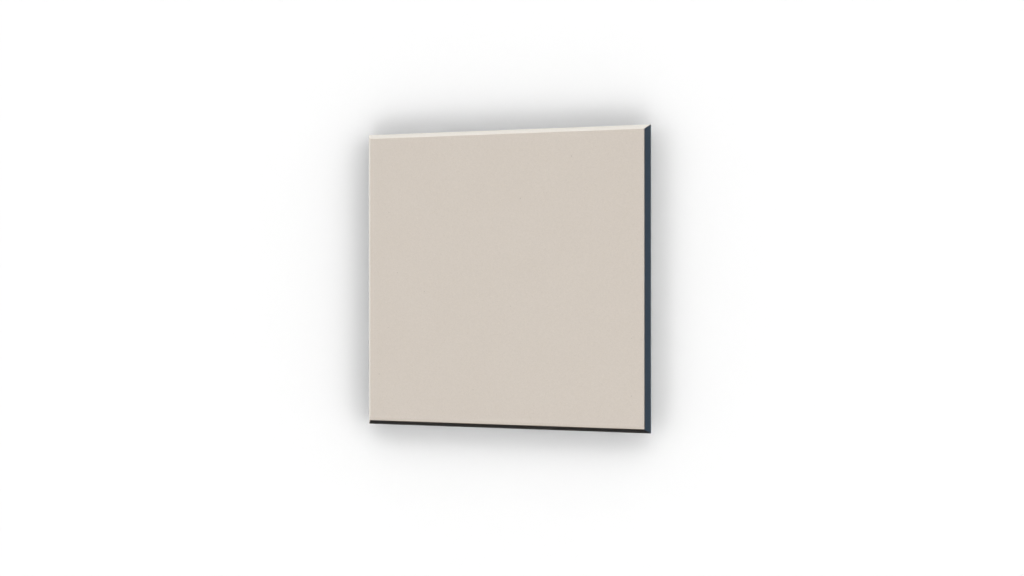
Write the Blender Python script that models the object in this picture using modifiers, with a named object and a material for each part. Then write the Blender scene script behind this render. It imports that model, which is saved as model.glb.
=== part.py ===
"""Granite tooling slab for leatherwork, lying on four stuck-on rubber feet.

Lengths are in metres. The slab's working face looks up (+Z) and its sides run along X and Y. The origin
is on the bench, under the middle of the slab, with the front edge at -Y and the right edge at +X.
"""

import math

import bmesh
import bpy

# The stone: a thin square slab with a bevel ground down all four edges.
SLAB_WIDTH = 0.3050  # along X, over the straight wall at the back
SLAB_LENGTH = 0.3050  # along Y
SLAB_THICKNESS = 0.0095
BEVEL_WIDTH = 0.0046  # how far the bevel reaches in over the working face
WALL_HEIGHT = 0.0020  # straight wall left below the bevel
EDGE_EASE = 0.0004  # sharp edges of the stone are rubbed down by this much
EDGE_EASE_WALL_SHARE = 0.3  # and never by more than this share of the straight wall
EDGE_EASE_SEGMENTS = 2

# One rubber foot: a low moulded button whose sole has a shallow hollow.
FOOT_RADIUS = 0.0125
FOOT_HEIGHT = 0.0030
TOP_ROUND = 0.0003
SOLE_ROUND = 0.0010
SOLE_RING_WIDTH = 0.0045  # flat ring that stands on the bench
HOLLOW_DEPTH = 0.0006
HOLLOW_SLOPE = 0.0012  # how far in the hollow's side runs on its way up
SOLE_ARC_STEPS = 4
FOOT_SETBACK = 0.0300  # from each edge of the slab to a foot's axis

# One adhesive pad, which covers the foot's top but for a small margin.
PAD_THICKNESS = 0.0005
PAD_MARGIN = 0.0007

# Clearance between pieces that touch.
GAP = 0.0003

TURNED_STEPS = 40
MERGE_DISTANCE = 0.00001
SMOOTH_BELOW = math.radians(35)

# Heights, from the bench up.
PAD_BOTTOM = FOOT_HEIGHT + GAP
SLAB_BOTTOM = PAD_BOTTOM + PAD_THICKNESS + GAP


def clear_scene():
    for old in list(bpy.data.objects):
        bpy.data.objects.remove(old, do_unlink=True)


def new_collection(name):
    collection = bpy.data.collections.new(name)
    bpy.context.scene.collection.children.link(collection)
    return collection


def new_material(name, colour, roughness):
    material = bpy.data.materials.new(name)
    material.use_nodes = True
    shader = material.node_tree.nodes["Principled BSDF"]
    shader.inputs["Base Color"].default_value = (*colour, 1.0)
    shader.inputs["Roughness"].default_value = roughness
    shader.inputs["Metallic"].default_value = 0.0
    return material


def granite_material():
    return new_material("pale_beige_granite", (0.645, 0.578, 0.515), 0.30)


def rubber_material():
    return new_material("black_rubber", (0.020, 0.020, 0.021), 0.60)


def adhesive_material():
    return new_material("grey_adhesive_foam", (0.330, 0.330, 0.325), 0.80)


def mesh_from(bm, name):
    mesh = bpy.data.meshes.new(name)
    bm.to_mesh(mesh)
    bm.free()
    return mesh


def place(name, mesh, material, location, parent, collection):
    obj = bpy.data.objects.new(name, mesh)
    if not mesh.materials:
        mesh.materials.append(material)
    obj.location = location
    obj.parent = parent
    collection.objects.link(obj)
    return obj


def slab_mesh():
    """The straight-walled blank, with the bevelled part drawn up from its top face."""
    bm = bmesh.new()
    bmesh.ops.create_cube(bm, size=1.0)
    bmesh.ops.translate(bm, vec=(0, 0, 0.5), verts=bm.verts)
    bmesh.ops.scale(bm, vec=(SLAB_WIDTH, SLAB_LENGTH, WALL_HEIGHT), verts=bm.verts)
    wall_top = [face for face in bm.faces if face.normal.z > 0.5]
    bevelled = bmesh.ops.extrude_face_region(bm, geom=wall_top)
    bmesh.ops.delete(bm, geom=wall_top, context="FACES_ONLY")
    working_face = [item for item in bevelled["geom"] if isinstance(item, bmesh.types.BMVert)]
    bmesh.ops.translate(bm, vec=(0, 0, SLAB_THICKNESS - WALL_HEIGHT), verts=working_face)
    shrink = (1 - 2 * BEVEL_WIDTH / SLAB_WIDTH, 1 - 2 * BEVEL_WIDTH / SLAB_LENGTH, 1)
    bmesh.ops.scale(bm, vec=shrink, verts=working_face)
    bmesh.ops.recalc_face_normals(bm, faces=bm.faces)
    return mesh_from(bm, "slab")


def ease_edges(slab):
    ease = slab.modifiers.new("eased_edges", "BEVEL")
    ease.width = min(EDGE_EASE, EDGE_EASE_WALL_SHARE * WALL_HEIGHT)
    ease.segments = EDGE_EASE_SEGMENTS
    ease.limit_method = "ANGLE"
    ease.angle_limit = math.radians(20)


def rounded_corner(centre_r, centre_z, radius, start, end, steps):
    """Points of an arc in the (radius, height) plane, angles in degrees from the outward direction."""
    angles = [math.radians(start + (end - start) * i / steps) for i in range(steps + 1)]
    return [(centre_r + radius * math.cos(a), centre_z + radius * math.sin(a)) for a in angles]


def foot_profile():
    """The foot's half section from the middle of its top, round the outside, to the sole's hollow."""
    sole_edge = FOOT_RADIUS - SOLE_ROUND
    hollow_radius = sole_edge - SOLE_RING_WIDTH
    top_arc = rounded_corner(FOOT_RADIUS - TOP_ROUND, FOOT_HEIGHT - TOP_ROUND, TOP_ROUND, 90, 0, 2)
    sole_arc = rounded_corner(sole_edge, SOLE_ROUND, SOLE_ROUND, 0, -90, SOLE_ARC_STEPS)
    return [
        (0.0, FOOT_HEIGHT),
        *top_arc,
        *sole_arc,
        (hollow_radius, 0.0),
        (hollow_radius - HOLLOW_SLOPE, HOLLOW_DEPTH),
        (0.0, HOLLOW_DEPTH),
    ]


def foot_mesh():
    bm = bmesh.new()
    points = [bm.verts.new((radius, 0.0, height)) for radius, height in foot_profile()]
    for first, second in zip(points, points[1:]):
        bm.edges.new((first, second))
    return mesh_from(bm, "foot")


def turn(obj):
    """Spins the object's half section round Z and shades the result as a moulded piece."""
    spin = obj.modifiers.new("turned", "SCREW")
    spin.axis = "Z"
    spin.steps = TURNED_STEPS
    spin.render_steps = TURNED_STEPS
    spin.use_merge_vertices = True
    spin.merge_threshold = MERGE_DISTANCE
    spin.use_smooth_shade = True


def pad_mesh():
    bm = bmesh.new()
    radius = FOOT_RADIUS - PAD_MARGIN
    bmesh.ops.create_cone(
        bm,
        cap_ends=True,
        segments=TURNED_STEPS,
        radius1=radius,
        radius2=radius,
        depth=PAD_THICKNESS,
    )
    bmesh.ops.translate(bm, vec=(0, 0, PAD_THICKNESS / 2), verts=bm.verts)
    mesh = mesh_from(bm, "pad")
    mesh.shade_smooth()
    mesh.set_sharp_from_angle(angle=SMOOTH_BELOW)
    return mesh


def corner_places():
    """Each corner's name and the place of its foot's axis on the bench."""
    across = SLAB_WIDTH / 2 - FOOT_SETBACK
    along = SLAB_LENGTH / 2 - FOOT_SETBACK
    for row, side_y in (("front", -1), ("back", 1)):
        for column, side_x in (("left", -1), ("right", 1)):
            yield f"{row}_{column}", (side_x * across, side_y * along, 0.0)


def build():
    clear_scene()
    collection = new_collection("granite_slab_assembly")
    bench_point = bpy.data.objects.new("bench_point", None)
    collection.objects.link(bench_point)

    slab = place(
        "granite_slab", slab_mesh(), granite_material(), (0, 0, SLAB_BOTTOM), bench_point, collection
    )
    ease_edges(slab)

    foot_shape, rubber = foot_mesh(), rubber_material()
    pad_shape, adhesive = pad_mesh(), adhesive_material()
    for corner, (x, y, bench) in corner_places():
        foot = place(f"foot_{corner}", foot_shape, rubber, (x, y, bench), bench_point, collection)
        turn(foot)
        place(f"pad_{corner}", pad_shape, adhesive, (x, y, PAD_BOTTOM), bench_point, collection)


build()
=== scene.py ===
"""Looks of a granite tooling slab for leatherwork, which lies on four stick-on rubber feet.

The stone, the feet and the adhesive pads are modelled here in full, in the places and sizes that the
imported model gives. Lengths are in metres, +Z is up, and the bench is at Z = 0.
"""

from __future__ import annotations

import logging
import math
from dataclasses import dataclass, field
from enum import Enum
from typing import Iterable, Sequence

import bmesh
import bpy
from mathutils import Matrix, Vector, noise


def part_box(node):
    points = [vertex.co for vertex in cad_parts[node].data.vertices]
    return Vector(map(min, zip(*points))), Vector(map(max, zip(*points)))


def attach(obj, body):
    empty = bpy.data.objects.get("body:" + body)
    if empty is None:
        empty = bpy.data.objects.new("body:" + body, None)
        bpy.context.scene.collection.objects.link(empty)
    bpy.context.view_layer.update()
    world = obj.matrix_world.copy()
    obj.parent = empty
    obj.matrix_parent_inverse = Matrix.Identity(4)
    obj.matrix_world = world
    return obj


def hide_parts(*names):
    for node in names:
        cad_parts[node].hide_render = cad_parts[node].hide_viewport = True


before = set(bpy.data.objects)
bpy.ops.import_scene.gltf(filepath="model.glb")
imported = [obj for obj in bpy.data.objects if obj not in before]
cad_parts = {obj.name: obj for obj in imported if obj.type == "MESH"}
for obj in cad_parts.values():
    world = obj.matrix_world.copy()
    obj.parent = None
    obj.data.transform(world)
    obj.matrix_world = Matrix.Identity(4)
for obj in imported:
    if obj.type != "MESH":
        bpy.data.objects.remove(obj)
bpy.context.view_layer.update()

LOG = logging.getLogger("granite_slab")
BODY = "root"
SLAB_NODE = "granite_slab"
MERGE_DISTANCE = 1e-6

Colour = tuple[float, float, float]
Direction = tuple[float, float, float]
Span = tuple[float, float]
Socket = bpy.types.NodeSocket

WHITE: Colour = (1.0, 1.0, 1.0)


class StoneFace(Enum):
    """How one surface of the stone is worked, in the order of the stone's material numbers."""

    POLISHED = "polished"
    HONED = "honed"
    SAWN = "sawn"


class Gives(Enum):
    """What a light adds to the pieces that it falls on."""

    TONE = "tone"
    SHINE = "shine"


class Corner(Enum):
    """The four corners that a foot stands under."""

    FRONT_LEFT = "front_left"
    FRONT_RIGHT = "front_right"
    BACK_LEFT = "back_left"
    BACK_RIGHT = "back_right"

    @property
    def foot(self) -> str:
        """The name of the foot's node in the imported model."""
        return f"foot_{self.value}"

    @property
    def pad(self) -> str:
        """The name of the pad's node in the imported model."""
        return f"pad_{self.value}"


# ---------------------------------------------------------------------------------------------------
# Node graphs
# ---------------------------------------------------------------------------------------------------


class NodeGraph:
    """A tree of shader nodes, with short ways to add and wire them."""

    def __init__(self, tree: bpy.types.NodeTree) -> None:
        """Takes the tree that the nodes go into."""
        self.tree = tree

    def feed(self, target: Socket, value: Socket | float | Sequence[float]) -> None:
        """Wires a socket to a target, or sets the target's own value.

        Args:
            target: The input.
            value: The socket that feeds it, or its value.
        """
        if isinstance(value, bpy.types.NodeSocket):
            self.tree.links.new(value, target)
        else:
            target.default_value = value

    def node(
        self, kind: str, inputs: dict[str | int, object] | None = None, **settings: object
    ) -> bpy.types.Node:
        """Adds a node.

        Args:
            kind: The node's type name without "ShaderNode".
            inputs: Values or sockets for its inputs, by name or number.
            **settings: Properties of the node.

        Returns:
            The new node.
        """
        made = self.tree.nodes.new(f"ShaderNode{kind}")
        for name, value in settings.items():
            setattr(made, name, value)
        for name, value in (inputs or {}).items():
            self.feed(made.inputs[name], value)
        return made

    def math(self, operation: str, first: Socket | float, second: Socket | float) -> Socket:
        """Works out one sum from two values and returns its socket."""
        return self.node("Math", {0: first, 1: second}, operation=operation).outputs[0]

    def spread(self, value: Socket, old: Span, new: Span) -> Socket:
        """Carries a value from an old range to a new one, held at both ends, and returns its socket."""
        ranges = {"From Min": old[0], "From Max": old[1], "To Min": new[0], "To Max": new[1]}
        return self.node("MapRange", {"Value": value, **ranges}, clamp=True).outputs[0]

    def around_one(self, value: Socket, change: float) -> Socket:
        """Carries a value from 0 to 1 to a factor that is at most a change away from 1."""
        return self.spread(value, (0.0, 1.0), (1.0 - change, 1.0 + change))

    def noise(self, place: Socket, size: float, **inputs: float) -> Socket:
        """Adds a soft noise with features of one size and returns its value's socket."""
        return self.node("TexNoise", {"Vector": place, "Scale": 1.0 / size, **inputs}).outputs[0]

    def cells(self, place: Socket, size: float, **settings: object) -> bpy.types.Node:
        """Adds a pattern of irregular cells of one size and returns its node."""
        return self.node("TexVoronoi", {"Vector": place, "Scale": 1.0 / size}, **settings)

    def chances(self, cells: bpy.types.Node) -> list[Socket]:
        """Three random numbers from 0 to 1 for each cell of a pattern."""
        return list(self.node("SeparateColor", {0: cells.outputs["Color"]}).outputs)[:3]

    def blend(self, share: Socket | float, first: Socket | Colour, second: Socket | Colour) -> Socket:
        """Mixes two colours.

        Args:
            share: How much of the second one there is, from 0 to 1.
            first: One colour.
            second: The other colour.

        Returns:
            The mixed colour's socket.
        """
        made = self.node("Mix", data_type="RGBA")
        self.feed(made.inputs["Factor"], share)
        for place, colour in (("A_Color", first), ("B_Color", second)):
            value = colour if isinstance(colour, bpy.types.NodeSocket) else (*colour, 1.0)
            self.feed(next(s for s in made.inputs if s.identifier == place), value)
        return next(s for s in made.outputs if s.identifier == "Result_Color")

    def scaled(self, vector: Socket | Colour, factor: Socket | float) -> Socket:
        """Multiplies a colour or a vector by a factor and returns its socket."""
        return self.node("VectorMath", {0: vector, "Scale": factor}, operation="SCALE").outputs[0]


class MaterialGraph(NodeGraph):
    """The node graph of a new material with one Principled shader."""

    def __init__(self, name: str) -> None:
        """Starts the material.

        Args:
            name: The material's name.
        """
        self.material = bpy.data.materials.new(name)
        self.material.use_nodes = True
        super().__init__(self.material.node_tree)
        self.shader = self.tree.nodes["Principled BSDF"]

    def set(self, **values: Socket | float) -> None:
        """Sets or feeds sockets of the shader, named with underscores for spaces."""
        for name, value in values.items():
            self.feed(self.shader.inputs[name.replace("_", " ")], value)

    def place(self) -> Socket:
        """The point on the piece, in metres."""
        return self.node("TexCoord").outputs["Object"]

    def warped(self, place: Socket, grain: float, reach: float) -> Socket:
        """Shifts points by a soft noise, so that what is drawn with them isn't regular.

        Args:
            place: The points.
            grain: The noise's own size.
            reach: How far a point moves, about.

        Returns:
            The shifted points' socket.
        """
        wave = self.node("TexNoise", {"Vector": place, "Scale": 1.0 / grain, "Detail": 1.0})
        inputs = {0: wave.outputs["Color"], 1: (0.5, 0.5, 0.5)}
        centred = self.node("VectorMath", inputs, operation="SUBTRACT").outputs[0]
        shift = self.scaled(centred, 2.0 * reach)
        return self.node("VectorMath", {0: place, 1: shift}, operation="ADD").outputs[0]

    def relief(self, height: Socket, depth: float) -> Socket:
        """Raises a fine relief of a given depth in metres and returns its normal's socket."""
        return self.node("Bump", {"Height": height, "Strength": 1.0, "Distance": depth}).outputs[0]


# ---------------------------------------------------------------------------------------------------
# Finishes
# ---------------------------------------------------------------------------------------------------


@dataclass(frozen=True)
class GraniteFinish:
    """A fine-grained pale beige granite, worked in one of three ways.

    Crystals of feldspar and quartz lie close together in nearly one tone, with finer grains in them.
    A few pale quartz grains and dark mica flakes stand out.
    """

    feldspar: Colour = (0.610, 0.543, 0.480)
    quartz: Colour = (0.668, 0.606, 0.546)
    warm: Colour = (0.566, 0.486, 0.412)
    mica: Colour = (0.300, 0.262, 0.228)
    crystal: float = 0.0011
    crystal_tone: float = 0.017
    warp_grain: float = 1.6
    warp_reach: float = 0.45
    grain: float = 0.00042
    grain_tone: float = 0.030
    cloud: float = 0.045
    cloud_edge: Span = (0.3, 0.7)
    cloud_cover: float = 0.12
    warm_edge: Span = (0.72, 1.0)
    warm_cover: float = 0.22
    fleck_spacing: float = 0.0105
    fleck_size: Span = (0.028, 0.062)
    dark_above: float = 0.80
    dark_cover: float = 0.55
    pale_below: float = 0.16
    pale_cover: float = 0.80
    gloss_change: float = 0.14
    pit: float = 0.0006
    crystal_step: float = 0.4
    saw_stroke: float = 0.012
    saw_step: float = 0.8
    ior: float = 1.54

    def roughness(self, face: StoneFace) -> float:
        """The mean roughness of a surface worked that way."""
        return {StoneFace.POLISHED: 0.24, StoneFace.HONED: 0.46, StoneFace.SAWN: 0.78}[face]

    def depth(self, face: StoneFace) -> float:
        """The depth of the surface's fine relief, in metres."""
        return {StoneFace.POLISHED: 0.000004, StoneFace.HONED: 0.000030, StoneFace.SAWN: 0.000120}[face]

    def material(self, face: StoneFace) -> bpy.types.Material:
        """Makes the stone's material for one kind of surface.

        Args:
            face: How the surface is worked.

        Returns:
            The material.
        """
        graph = MaterialGraph(f"{face.value}_granite")
        warp = {"grain": self.crystal * self.warp_grain, "reach": self.crystal * self.warp_reach}
        place = graph.warped(graph.place(), **warp)
        tones = graph.chances(graph.cells(place, self.crystal))
        graph.set(
            Base_Color=self._flecks(graph, self._body_colour(graph, place, tones), place),
            Roughness=self._gloss(graph, tones, face),
            Normal=graph.relief(self._height(graph, tones, face), self.depth(face)),
            IOR=self.ior,
            Metallic=0.0,
        )
        return graph.material

    def _body_colour(self, graph: MaterialGraph, place: Socket, tones: list[Socket]) -> Socket:
        """Colours the close-set crystals and grains.

        Each has its own tone, and clouds of crystals run paler and single ones warmer.

        Args:
            graph: The material's nodes.
            place: The warped points.
            tones: Each crystal's random numbers.

        Returns:
            The colour's socket.
        """
        drift = graph.noise(place, self.cloud, Detail=4.0)
        cloud = graph.spread(drift, self.cloud_edge, (0.0, self.cloud_cover))
        base = graph.blend(cloud, self.feldspar, self.quartz)
        warm = graph.spread(tones[1], self.warm_edge, (0.0, self.warm_cover))
        base = graph.blend(warm, base, self.warm)
        crystal = graph.around_one(tones[0], self.crystal_tone)
        grain = graph.around_one(graph.chances(graph.cells(place, self.grain))[0], self.grain_tone)
        return graph.scaled(base, graph.math("MULTIPLY", crystal, grain))

    def _flecks(self, graph: MaterialGraph, base: Socket, place: Socket) -> Socket:
        """Lays the few grains that stand out over the body colour.

        Args:
            graph: The material's nodes.
            base: The body colour.
            place: The warped points.

        Returns:
            The colour's socket.
        """
        cells = graph.cells(place, self.fleck_spacing)
        kind, spread, _ = graph.chances(cells)
        size = graph.spread(spread, (0.0, 1.0), self.fleck_size)
        spot = graph.math("LESS_THAN", cells.outputs["Distance"], size)
        dark = graph.math("MULTIPLY", spot, graph.math("GREATER_THAN", kind, self.dark_above))
        pale = graph.math("MULTIPLY", spot, graph.math("LESS_THAN", kind, self.pale_below))
        base = graph.blend(graph.math("MULTIPLY", dark, self.dark_cover), base, self.mica)
        return graph.blend(graph.math("MULTIPLY", pale, self.pale_cover), base, self.quartz)

    def _gloss(self, graph: MaterialGraph, tones: list[Socket], face: StoneFace) -> Socket:
        """The roughness, which differs a little from crystal to crystal."""
        mean = self.roughness(face)
        around = (mean * (1.0 - self.gloss_change), mean * (1.0 + self.gloss_change))
        return graph.spread(tones[2], (0.0, 1.0), around)

    def _height(self, graph: MaterialGraph, tones: list[Socket], face: StoneFace) -> Socket:
        """Raises the relief: crystals polished to slightly unlike heights, pits, and a saw's marks.

        Args:
            graph: The material's nodes.
            tones: Each crystal's random numbers.
            face: How the surface is worked.

        Returns:
            The height's socket.
        """
        place = graph.place()
        pits = graph.noise(place, self.pit, Detail=3.0)
        height = graph.math("ADD", graph.math("MULTIPLY", tones[0], self.crystal_step), pits)
        if face is not StoneFace.SAWN:
            return height
        wobble = {"Distortion": 1.4, "Detail": 2.0, "Detail Scale": 0.6}
        strokes = graph.node("TexWave", {"Vector": place, "Scale": 1.0 / self.saw_stroke, **wobble})
        marks = graph.math("MULTIPLY", strokes.outputs["Fac"], self.saw_step)
        return graph.math("ADD", height, marks)


@dataclass(frozen=True)
class RubberFinish:
    """Moulded black rubber with a fine matt skin and a little dust on it."""

    rubber: Colour = (0.021, 0.021, 0.022)
    dust: Colour = (0.060, 0.058, 0.055)
    bloom: float = 0.006
    dust_edge: Span = (0.48, 0.72)
    dust_cover: float = 0.55
    gloss_edge: Span = (0.3, 0.7)
    roughness: Span = (0.50, 0.64)
    skin: float = 0.00035
    depth: float = 0.000022
    ior: float = 1.52

    def material(self) -> bpy.types.Material:
        """Makes the rubber's material.

        Returns:
            The material.
        """
        graph = MaterialGraph("black_moulded_rubber")
        place = graph.place()
        bloom = graph.noise(place, self.bloom, Detail=5.0, Roughness=0.65)
        dusty = graph.spread(bloom, self.dust_edge, (0.0, self.dust_cover))
        skin = graph.cells(place, self.skin, feature="SMOOTH_F1").outputs["Distance"]
        graph.set(
            Base_Color=graph.blend(dusty, self.rubber, self.dust),
            Roughness=graph.spread(bloom, self.gloss_edge, self.roughness),
            Normal=graph.relief(skin, self.depth),
            IOR=self.ior,
            Metallic=0.0,
        )
        return graph.material


@dataclass(frozen=True)
class FoamFinish:
    """Grey double-sided foam tape, whose cut edge shows its open cells, with painted shade in their
    hollows.
    """

    foam: Colour = (0.335, 0.335, 0.328)
    # shade: the darker colour of the cells' hollows, which is painted shade, not the foam's own colour
    shade: Colour = (0.215, 0.215, 0.212)
    cell: float = 0.00022
    cell_edge: Span = (0.1, 0.6)
    roughness: Span = (0.90, 0.78)
    depth: float = 0.00006
    ior: float = 1.45

    def material(self) -> bpy.types.Material:
        """Makes the foam's material.

        Returns:
            The material.
        """
        graph = MaterialGraph("grey_foam_tape")
        cells = graph.cells(graph.place(), self.cell)
        height = graph.spread(cells.outputs["Distance"], self.cell_edge, (0.0, 1.0))
        graph.set(
            # the sunken middle of each cell takes the shade colour: painted shade in the pores
            Base_Color=graph.blend(height, self.shade, self.foam),
            Roughness=graph.spread(height, (0.0, 1.0), self.roughness),
            Normal=graph.relief(height, self.depth),
            IOR=self.ior,
            Metallic=0.0,
        )
        return graph.material


@dataclass(frozen=True)
class PaperFinish:
    """Seamless white paper, as a studio floor."""

    paper: Colour = (0.80, 0.80, 0.80)
    fibres_per_metre: float = 900.0
    fibre_edge: Span = (0.3, 0.7)
    fibre_tone: Span = (0.995, 1.005)

    def material(self) -> bpy.types.Material:
        """Makes the floor's material.

        Returns:
            The material.
        """
        graph = MaterialGraph("seamless_white_paper")
        fibre = graph.noise(graph.place(), 1.0 / self.fibres_per_metre, Detail=3.0)
        tone = graph.spread(fibre, self.fibre_edge, self.fibre_tone)
        graph.set(Base_Color=graph.scaled(self.paper, tone), Roughness=1.0, Specular_IOR_Level=0.0)
        return graph.material


# ---------------------------------------------------------------------------------------------------
# Mesh work
# ---------------------------------------------------------------------------------------------------


def piece_from(
    bm: bmesh.types.BMesh, name: str, materials: Iterable[bpy.types.Material]
) -> bpy.types.Object:
    """Makes an object of a finished bmesh, which it frees.

    Args:
        bm: The mesh, with its place in its vertices.
        name: The piece's name.
        materials: Its materials, in the order of the faces' material numbers.

    Returns:
        The object, at the origin.
    """
    bmesh.ops.remove_doubles(bm, verts=bm.verts, dist=MERGE_DISTANCE)
    bmesh.ops.recalc_face_normals(bm, faces=bm.faces)
    mesh = bpy.data.meshes.new(name)
    bm.to_mesh(mesh)
    bm.free()
    for material in materials:
        mesh.materials.append(material)
    made = bpy.data.objects.new(name, mesh)
    bpy.context.scene.collection.objects.link(made)
    return made


def stand_in(piece: bpy.types.Object, node: str) -> None:
    """Makes a piece ride on the object's body in place of a plain node.

    Args:
        piece: The finished piece.
        node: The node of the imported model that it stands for.
    """
    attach(piece, BODY)
    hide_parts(node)
    LOG.info("%s: %d faces", piece.name, len(piece.data.polygons))


def shade(piece: bpy.types.Object, sharp_above: float) -> None:
    """Shades a piece smooth but for the edges that turn by more than an angle."""
    piece.data.shade_smooth()
    piece.data.set_sharp_from_angle(angle=sharp_above)


def spun(profile: Sequence[Span], steps: int) -> bmesh.types.BMesh:
    """Turns a half section round Z.

    Args:
        profile: (radius, height) of its points, from the axis round the outside and back to the axis.
        steps: How many steps make the full turn.

    Returns:
        The turned bmesh, closed on the axis.
    """
    bm = bmesh.new()
    points = [bm.verts.new((radius, 0.0, height)) for radius, height in profile]
    edges = [bm.edges.new(pair) for pair in zip(points, points[1:])]
    bmesh.ops.spin(
        bm,
        geom=[*points, *edges],
        cent=(0, 0, 0),
        axis=(0, 0, 1),
        angle=math.tau,
        steps=steps,
        use_merge=True,
    )
    bmesh.ops.remove_doubles(bm, verts=bm.verts, dist=MERGE_DISTANCE)
    return bm


def round_edges(bm: bmesh.types.BMesh, edges: list[bmesh.types.BMEdge], width: float, faces: int) -> None:
    """Rounds edges.

    Args:
        bm: The mesh.
        edges: Its edges to round.
        width: How far the rounding reaches.
        faces: How many faces it has across.
    """
    bmesh.ops.bevel(
        bm, geom=edges, offset=width, affect="EDGES", segments=faces, profile=0.5, material=-1
    )


def ring_at(bm: bmesh.types.BMesh, radius: float, height: float) -> list[bmesh.types.BMEdge]:
    """Finds the ring of edges at one radius and height of a turned shape.

    Args:
        bm: The turned shape, round Z.
        radius: The ring's radius.
        height: The ring's height.

    Returns:
        The ring's edges.
    """

    def on_ring(vert: bmesh.types.BMVert) -> bool:
        """Whether a point lies on the ring."""
        off = max(abs(vert.co.xy.length - radius), abs(vert.co.z - height))
        return off < MERGE_DISTANCE

    return [edge for edge in bm.edges if all(on_ring(vert) for vert in edge.verts)]


# ---------------------------------------------------------------------------------------------------
# The stone
# ---------------------------------------------------------------------------------------------------


@dataclass
class StoneSlab:
    """The square of stone, with a steep bevel ground down all four edges."""

    bevel_width: float = 0.0046
    wall_height: float = 0.0020
    arris: float = 0.00040
    arris_faces: int = 3
    step_along: float = 0.0025
    rub: float = 0.00007
    rub_grain: float = 0.006
    polished_above: float = 0.3
    honed_above: float = -0.7
    broad_face_weight: int = 100
    granite: GraniteFinish = field(default_factory=GraniteFinish)

    def build(self) -> bpy.types.Object:
        """Models the stone and gives it its three finishes.

        Returns:
            The finished piece.
        """
        low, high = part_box(SLAB_NODE)
        bm = self._blank(low, high)
        round_edges(bm, list(bm.edges), self.arris, self.arris_faces)
        self._cut_across(bm)
        self._rub_down(bm)
        self._mark_faces(bm)
        stone = piece_from(bm, "tooling_stone", [self.granite.material(face) for face in StoneFace])
        self._smooth(stone)
        stand_in(stone, SLAB_NODE)
        return stone

    def _blank(self, low: Vector, high: Vector) -> bmesh.types.BMesh:
        """Saws the blank to size and draws its bevelled part up from the straight wall.

        Args:
            low: The stone's lowest corner.
            high: The stone's highest corner.

        Returns:
            The sharp-edged stone.
        """
        size = high - low
        bm = bmesh.new()
        bmesh.ops.create_cube(bm, size=1.0)
        bmesh.ops.scale(bm, vec=(size.x, size.y, self.wall_height), verts=bm.verts)
        middle = Vector(((low.x + high.x) / 2, (low.y + high.y) / 2, low.z + self.wall_height / 2))
        bmesh.ops.translate(bm, vec=middle, verts=bm.verts)
        top = [face for face in bm.faces if face.normal.z > 0.5]
        drawn = bmesh.ops.extrude_face_region(bm, geom=top)
        bmesh.ops.delete(bm, geom=top, context="FACES_ONLY")
        rim = [item for item in drawn["geom"] if isinstance(item, bmesh.types.BMVert)]
        bmesh.ops.translate(bm, vec=(0, 0, size.z - self.wall_height), verts=rim)
        shrink = Vector((1 - 2 * self.bevel_width / size.x, 1 - 2 * self.bevel_width / size.y, 1))
        bmesh.ops.scale(bm, vec=shrink, verts=rim, space=Matrix.Translation(-middle))
        return bm

    def _cut_across(self, bm: bmesh.types.BMesh) -> None:
        """Cuts the long faces across, so that the rounded edges can be rubbed unevenly.

        Args:
            bm: The stone with rounded edges.
        """
        reach = max(abs(vert.co.x) for vert in bm.verts) - 2 * self.bevel_width
        cuts = int(2 * reach / self.step_along)
        for axis in (Vector((1, 0, 0)), Vector((0, 1, 0))):
            for number in range(cuts + 1):
                place = axis * (number * self.step_along - reach)
                whole = [*bm.verts, *bm.edges, *bm.faces]
                bmesh.ops.bisect_plane(bm, geom=whole, plane_co=place, plane_no=axis)

    def _rub_down(self, bm: bmesh.types.BMesh) -> None:
        """Rubs the rounded edges down by slightly different amounts along their length.

        Args:
            bm: The stone, cut across.
        """
        bm.normal_update()
        for vert in bm.verts:
            if self._on_arris(vert):
                depth = 0.5 + 0.5 * noise.noise(vert.co / self.rub_grain)
                vert.co -= vert.normal * self.rub * depth

    def _on_arris(self, vert: bmesh.types.BMVert) -> bool:
        """Whether a point lies on a rounded edge."""
        return max(face.calc_area() for face in vert.link_faces) < self.arris * self.step_along

    def _mark_faces(self, bm: bmesh.types.BMesh) -> None:
        """Numbers the faces by how they are worked.

        Args:
            bm: The stone.
        """
        bm.normal_update()
        order = list(StoneFace)
        for face in bm.faces:
            face.material_index = order.index(self._worked(face))

    def _worked(self, face: bmesh.types.BMFace) -> StoneFace:
        """Says how a face is worked: polished above, honed on the wall and sawn below.

        Args:
            face: The face.

        Returns:
            Its kind of surface.
        """
        if face.normal.z > self.polished_above:
            return StoneFace.POLISHED
        if face.normal.z > self.honed_above:
            return StoneFace.HONED
        return StoneFace.SAWN

    def _smooth(self, stone: bpy.types.Object) -> None:
        """Shades the rounded edges smooth and keeps the broad faces flat.

        Args:
            stone: The piece.
        """
        stone.data.shade_smooth()
        weigh = stone.modifiers.new("broad_faces_lead", "WEIGHTED_NORMAL")
        weigh.weight = self.broad_face_weight
        weigh.keep_sharp = True


# ---------------------------------------------------------------------------------------------------
# The feet and their pads
# ---------------------------------------------------------------------------------------------------


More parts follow.
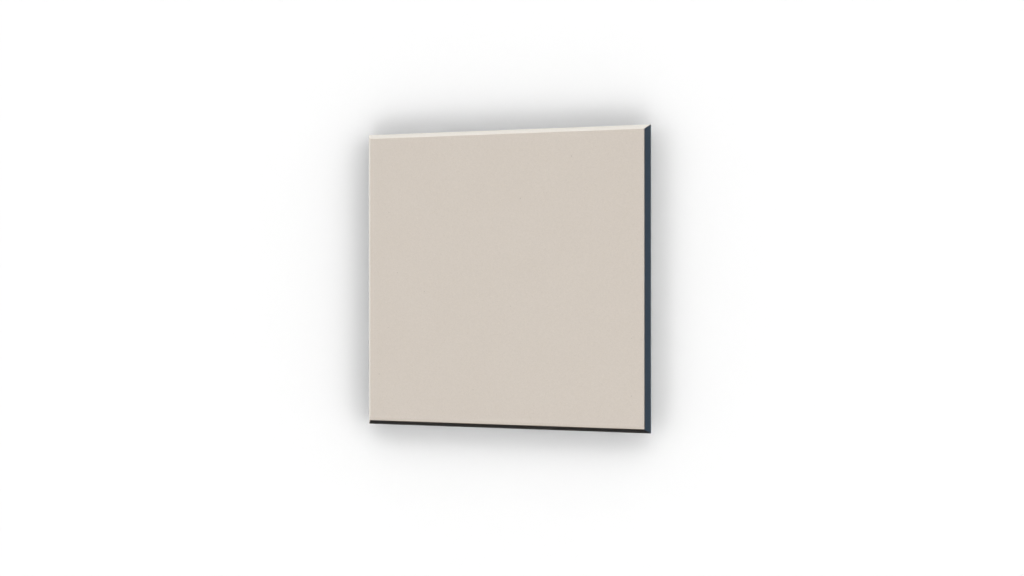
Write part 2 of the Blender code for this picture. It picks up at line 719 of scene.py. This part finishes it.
@dataclass
class RubberFoot:
    """A low moulded button with a grooved ring to stand on and a shallow hollow inside it."""

    corner: Corner
    steps: int = 96
    draft: float = 0.00022
    top_round: float = 0.00030
    top_faces: int = 4
    side_round: float = 0.00020
    side_faces: int = 2
    sole_round: float = 0.00100
    sole_faces: int = 6
    ring_width: float = 0.0045
    hollow_depth: float = 0.0006
    hollow_slope: float = 0.0012
    groove_places: Span = (0.36, 0.70)
    groove_width: float = 0.0006
    groove_depth: float = 0.00035
    groove_slope: float = 0.25
    gate_radius: float = 0.0011
    gate_depth: float = 0.00030
    gate_taper: float = 0.8
    sharp_above: float = math.radians(40)

    def build(self, rubber: bpy.types.Material) -> bpy.types.Object:
        """Turns the foot and sets it in its place under the slab.

        Args:
            rubber: The rubber's material.

        Returns:
            The finished piece.
        """
        low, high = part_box(self.corner.foot)
        radius = (high.x - low.x) / 2
        height = high.z - low.z
        bm = spun(self._section(radius, height), self.steps)
        round_edges(bm, ring_at(bm, radius - self.draft, height), self.top_round, self.top_faces)
        round_edges(bm, ring_at(bm, radius, self.sole_round), self.side_round, self.side_faces)
        middle = (low + high) / 2
        bmesh.ops.translate(bm, vec=(middle.x, middle.y, low.z), verts=bm.verts)
        foot = piece_from(bm, f"button_{self.corner.foot}", [rubber])
        shade(foot, self.sharp_above)
        stand_in(foot, self.corner.foot)
        return foot

    def _section(self, radius: float, height: float) -> list[Span]:
        """Draws the half section, from the middle of the top, down the side and in along the sole.

        Args:
            radius: The foot's radius.
            height: The foot's height.

        Returns:
            (radius, height) of its points.
        """
        sole_edge = radius - self.sole_round
        hollow = sole_edge - self.ring_width
        gate_top = self.hollow_depth + self.gate_depth
        return [
            (0.0, height),
            (radius - self.draft, height),
            *self._sole_arc(sole_edge),
            *self._grooves(sole_edge),
            (hollow, 0.0),
            (hollow - self.hollow_slope, self.hollow_depth),
            (self.gate_radius, self.hollow_depth),
            (self.gate_radius * self.gate_taper, gate_top),
            (0.0, gate_top),
        ]

    def _sole_arc(self, sole_edge: float) -> list[Span]:
        """Draws the quarter round between the side and the sole.

        Args:
            sole_edge: The radius at which the flat of the sole begins.

        Returns:
            (radius, height) of its points.
        """
        points = []
        for number in range(self.sole_faces + 1):
            angle = math.radians(90 * number / self.sole_faces)
            out = sole_edge + self.sole_round * math.cos(angle)
            points.append((out, self.sole_round - self.sole_round * math.sin(angle)))
        return points

    def _grooves(self, sole_edge: float) -> list[Span]:
        """Draws the grooves in the sole's ring.

        Args:
            sole_edge: The radius at which the flat of the sole begins.

        Returns:
            (radius, height) of their points, from the outside in.
        """
        slope = self.groove_width * self.groove_slope
        points = []
        for share in self.groove_places:
            outer = sole_edge - share * self.ring_width + self.groove_width / 2
            inner = outer - self.groove_width
            points += [
                (outer, 0.0),
                (outer - slope, self.groove_depth),
                (inner + slope, self.groove_depth),
                (inner, 0.0),
            ]
        return points


@dataclass
class AdhesivePad:
    """A disc of foam tape, squeezed a little between the foot and the stone."""

    corner: Corner
    steps: int = 96
    bulge: float = 0.00018
    edge_faces: int = 6
    fit: float = 0.00002
    sharp_above: float = math.radians(50)

    def build(self, foam: bpy.types.Material) -> bpy.types.Object:
        """Turns the disc and sets it between its foot and the stone.

        Args:
            foam: The foam's material.

        Returns:
            The finished piece.
        """
        low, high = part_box(self.corner.pad)
        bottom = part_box(self.corner.foot)[1].z + self.fit
        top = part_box(SLAB_NODE)[0].z - self.fit
        bm = spun(self._section((high.x - low.x) / 2, top - bottom), self.steps)
        middle = (low + high) / 2
        bmesh.ops.translate(bm, vec=(middle.x, middle.y, bottom), verts=bm.verts)
        pad = piece_from(bm, f"tape_{self.corner.pad}", [foam])
        shade(pad, self.sharp_above)
        stand_in(pad, self.corner.pad)
        return pad

    def _section(self, radius: float, height: float) -> list[Span]:
        """Draws the half section, from the middle of the top round the bulged edge to the middle below.

        Args:
            radius: The disc's radius, over the bulge.
            height: The disc's height.

        Returns:
            (radius, height) of its points.
        """
        edge = []
        for number in range(self.edge_faces + 1):
            down = number / self.edge_faces
            out = radius - self.bulge + self.bulge * math.sin(math.pi * down)
            edge.append((out, height * (1 - down)))
        return [(0.0, height), *edge, (0.0, 0.0)]


# ---------------------------------------------------------------------------------------------------
# The studio
# ---------------------------------------------------------------------------------------------------


@dataclass(frozen=True)
class SoftLight:
    """A broad, far light that falls on chosen pieces only."""

    name: str
    towards: Direction
    colour: Colour
    strength: float
    width: float = math.radians(6)
    gives: Gives = Gives.TONE

    def hang(self, lit: bpy.types.Collection) -> None:
        """Hangs the light.

        Args:
            lit: The pieces that it falls on.
        """
        lamp = bpy.data.lights.new(self.name, "SUN")
        lamp.energy = self.strength * math.pi
        lamp.color = self.colour
        lamp.angle = self.width
        lamp.cycles.use_multiple_importance_sampling = self.gives is Gives.SHINE
        made = bpy.data.objects.new(self.name, lamp)
        made.rotation_euler = Vector(self.towards).to_track_quat("Z", "Y").to_euler()
        made.light_linking.receiver_collection = lit
        made.visible_diffuse = self.gives is Gives.TONE
        made.visible_glossy = self.gives is Gives.SHINE
        bpy.context.scene.collection.objects.link(made)


@dataclass(frozen=True)
class FloorLights:
    """Lights in a low ring round the table, which give the floor its soft shade.

    Those at the right are a little stronger than those at the left, and they hang lower.
    """

    lamps: int = 16
    height: float = math.radians(16)
    right_drop: float = math.radians(5)
    drop_focus: int = 3
    width: float = math.radians(34)
    brightness: float = 1.005
    more_at_right: float = 0.13
    floor_tone: float = 0.80

    def lights(self) -> list[SoftLight]:
        """Works out the ring's lights, which together bring the open floor to its brightness.

        Returns:
            The lights.
        """
        ring = []
        for number in range(self.lamps):
            turn = math.tau * (number + 0.5) / self.lamps
            right, back = math.cos(turn), math.sin(turn)
            height = self.height - self.right_drop * max(0.0, right) ** self.drop_focus
            level, up = math.cos(height), math.sin(height)
            share = (1.0 + self.more_at_right * right) / self.lamps
            strength = share * self.brightness / (self.floor_tone * up)
            name = f"ring_lamp_{number + 1:02d}"
            ring.append(SoftLight(name, (right * level, back * level, up), WHITE, strength, self.width))
        return ring


@dataclass(frozen=True)
class StoneLights:
    """The lights that fall on the stone only.

    Its tone comes from a warm and a cool light behind it on the left, with faint ones at the right and in
    front. Wide lights show in the polish of the bevels, and the bench throws some light back up.
    """

    shine_colour: Colour = (1.0, 0.93, 0.86)
    shine_width: float = math.radians(40)
    side_shine: float = 0.27
    corner_shine: float = 0.15
    bounce_colour: Colour = (1.0, 0.97, 0.93)
    bounce_width: float = math.radians(10)
    bounce: float = 0.30
    bounce_out: float = 0.40
    bounce_up: float = 0.92

    def lights(self) -> list[SoftLight]:
        """All the stone's lights."""
        return [*self._tone(), *self._shine(), *self._bench_bounce()]

    def _tone(self) -> list[SoftLight]:
        """Gives the four lights that colour the face and the bevels.

        Returns:
            The lights.
        """
        return [
            SoftLight("warm_key", (-0.65, 0.65, 1.0), (1.0, 0.70, 0.435), 0.573),
            SoftLight("cool_key", (-1.50, 1.50, 1.0), (0.715, 0.875, 1.0), 1.946),
            SoftLight("right_fill", (0.985, 0.0, 0.17), (0.344, 0.614, 1.0), 0.176),
            SoftLight("front_fill", (0.0, -0.985, 0.17), (1.0, 0.965, 0.96), 0.030),
        ]

    def _shine(self) -> list[SoftLight]:
        """Gives the four wide lights that show in the bevels' polish.

        Returns:
            The lights.
        """
        places = {
            "front": ((0.0, -0.58, 0.81), self.side_shine),
            "right": ((0.58, 0.0, 0.81), self.side_shine),
            "front_left": ((-0.66, -0.69, 0.30), self.corner_shine),
            "back_right": ((0.69, 0.66, 0.30), self.corner_shine),
        }
        return [
            SoftLight(f"{side}_shine", towards, self.shine_colour, strength, self.shine_width, Gives.SHINE)
            for side, (towards, strength) in places.items()
        ]

    def _bench_bounce(self) -> list[SoftLight]:
        """Gives what the bench throws back up at the straight wall and the underside.

        Returns:
            The lights.
        """
        out = self.bounce_out
        sides = {"front": (0.0, -out), "right": (out, 0.0), "back": (0.0, out), "left": (-out, 0.0)}
        look = (self.bounce_colour, self.bounce, self.bounce_width)
        return [
            SoftLight(f"{side}_bounce", (*away, -self.bounce_up), *look) for side, away in sides.items()
        ]


@dataclass(frozen=True)
class FootLights:
    """Low lights that reach in under the stone and show the shape of the feet and pads from the sides."""

    front: Direction = (0.55, -0.83, 0.02)
    back: Direction = (-0.80, 0.60, 0.02)
    front_colour: Colour = (1.0, 0.98, 0.96)
    back_colour: Colour = (0.96, 0.98, 1.0)
    fill: float = 1.8
    fill_width: float = math.radians(30)
    shine: float = 0.8
    shine_width: float = math.radians(60)

    def lights(self) -> list[SoftLight]:
        """Gives the lights on each side, one for tone and one for shine.

        Returns:
            The lights.
        """
        return [
            SoftLight("front_foot_fill", self.front, self.front_colour, self.fill, self.fill_width),
            SoftLight("back_foot_fill", self.back, self.back_colour, self.fill, self.fill_width),
            SoftLight("front_foot_shine", self.front, WHITE, self.shine, self.shine_width, Gives.SHINE),
            SoftLight("back_foot_shine", self.back, WHITE, self.shine, self.shine_width, Gives.SHINE),
        ]


@dataclass(frozen=True)
class Viewpoint:
    """Where the camera stands: almost straight above, leaning to the right of the slab."""

    lean: float = 0.33544
    tip: float = -0.00319
    roll: float = -0.00051
    distance: float = 1.45314
    slide: Span = (0.00719, -0.00897)
    lens: float = 50.0
    sensor: float = 36.0

    def set_up(self, aim: Vector) -> None:
        """Makes the camera and the scene's view of it.

        Args:
            aim: The point that it stands over.
        """
        lean = Matrix.Rotation(self.lean, 3, "Y")
        tip = Matrix.Rotation(self.tip, 3, "X")
        roll = Matrix.Rotation(self.roll, 3, "Z")
        turn = lean @ tip @ roll
        data = bpy.data.cameras.new("studio_camera")
        data.lens = self.lens
        data.sensor_width = self.sensor
        camera = bpy.data.objects.new("studio_camera", data)
        camera.location = aim + turn @ Vector((*self.slide, self.distance))
        camera.rotation_euler = turn.to_euler()
        bpy.context.scene.collection.objects.link(camera)
        bpy.context.scene.camera = camera


@dataclass(frozen=True)
class Surround:
    """What is round the studio.

    It is white to the camera, a bright sky over a dark bench in reflections, and a faint even light
    elsewhere. Straight below, reflections show the lit bench.
    """

    ambient: float = 0.004
    reflected: tuple[Span, ...] = ((-0.74, 0.50), (-0.63, 0.0), (-0.03, 0.0), (0.03, 0.80))

    def put_up(self) -> None:
        """Makes the world and its nodes."""
        world = bpy.data.worlds.new("studio_surround")
        world.use_nodes = True
        world.node_tree.nodes.clear()
        bpy.context.scene.world = world
        graph = NodeGraph(world.node_tree)
        rays = graph.node("LightPath").outputs
        sky = self._reflected_sky(graph)
        lit = graph.node("Mix", {"Factor": rays["Is Glossy Ray"], "A": self.ambient, "B": sky})
        seen = graph.node("Mix", {"Factor": rays["Is Camera Ray"], "A": lit.outputs[0], "B": 1.0})
        backdrop = graph.node("Background", {"Color": (*WHITE, 1.0), "Strength": seen.outputs[0]})
        graph.node("OutputWorld", {"Surface": backdrop.outputs[0]})

    def _reflected_sky(self, graph: NodeGraph) -> Socket:
        """Draws the brightness that a reflection shows, by how far up or down it looks.

        Args:
            graph: The world's nodes.

        Returns:
            The brightness's socket.
        """
        direction = graph.node("TexCoord").outputs["Generated"]
        rise = graph.node("SeparateXYZ", {0: direction}).outputs["Z"]
        ramp = graph.node("ValToRGB", {0: graph.spread(rise, (-1.0, 1.0), (0.0, 1.0))})
        stops = ramp.color_ramp.elements
        while len(stops) < len(self.reflected):
            stops.new(0.5)
        for stop, (rises, brightness) in zip(stops, self.reflected):
            stop.position = (rises + 1.0) / 2.0
            stop.color = (brightness, brightness, brightness, 1.0)
        return ramp.outputs["Color"]


@dataclass
class Studio:
    """A white floor under plain soft light, seen from above.

    The floor, the stone and the low pieces under it have lights of their own, and the stone shades the
    other two.
    """

    floor_radius: float = 2.7
    floor_sides: int = 128
    floor_lights: FloorLights = field(default_factory=FloorLights)
    stone_lights: StoneLights = field(default_factory=StoneLights)
    foot_lights: FootLights = field(default_factory=FootLights)
    surround: Surround = field(default_factory=Surround)
    view: Viewpoint = field(default_factory=Viewpoint)

    def build(self, stone: bpy.types.Object, low_pieces: Sequence[bpy.types.Object]) -> None:
        """Lays the floor, hangs the lights and stands the camera.

        Args:
            stone: The slab of stone.
            low_pieces: The feet and pads under it.
        """
        stone.visible_diffuse = False
        self._light("lit_floor", [self._floor()], self.floor_lights.lights())
        self._light("lit_stone", [stone], self.stone_lights.lights())
        self._light("lit_feet", low_pieces, self.foot_lights.lights())
        self.surround.put_up()
        low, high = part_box(SLAB_NODE)
        wall_top = low.z + StoneSlab.wall_height
        self.view.set_up(Vector(((low.x + high.x) / 2, (low.y + high.y) / 2, wall_top)))
        bpy.context.scene.view_settings.view_transform = "Standard"

    def _light(
        self, name: str, members: Iterable[bpy.types.Object], lights: Iterable[SoftLight]
    ) -> None:
        """Hangs lights that fall on some pieces only.

        Args:
            name: The name for that group of pieces.
            members: The pieces.
            lights: Their lights.
        """
        group = bpy.data.collections.new(name)
        for member in members:
            group.objects.link(member)
        for light in lights:
            light.hang(group)

    def _floor(self) -> bpy.types.Object:
        """Lays the paper floor, which doesn't light or shade the pieces and doesn't show in them.

        Returns:
            The floor.
        """
        bm = bmesh.new()
        bmesh.ops.create_circle(bm, cap_ends=True, radius=self.floor_radius, segments=self.floor_sides)
        floor = piece_from(bm, "paper_floor", [PaperFinish().material()])
        floor.visible_diffuse = False
        floor.visible_glossy = False
        floor.visible_shadow = False
        return floor


# ---------------------------------------------------------------------------------------------------


def main() -> None:
    """Builds the stone, its feet and pads, and the studio round them."""
    logging.basicConfig(level=logging.INFO, format="%(name)s: %(message)s")
    stone = StoneSlab().build()
    rubber = RubberFinish().material()
    foam = FoamFinish().material()
    low_pieces = []
    for corner in Corner:
        low_pieces.append(RubberFoot(corner).build(rubber))
        low_pieces.append(AdhesivePad(corner).build(foam))
    Studio().build(stone, low_pieces)


if __name__ == "__main__":
    main()
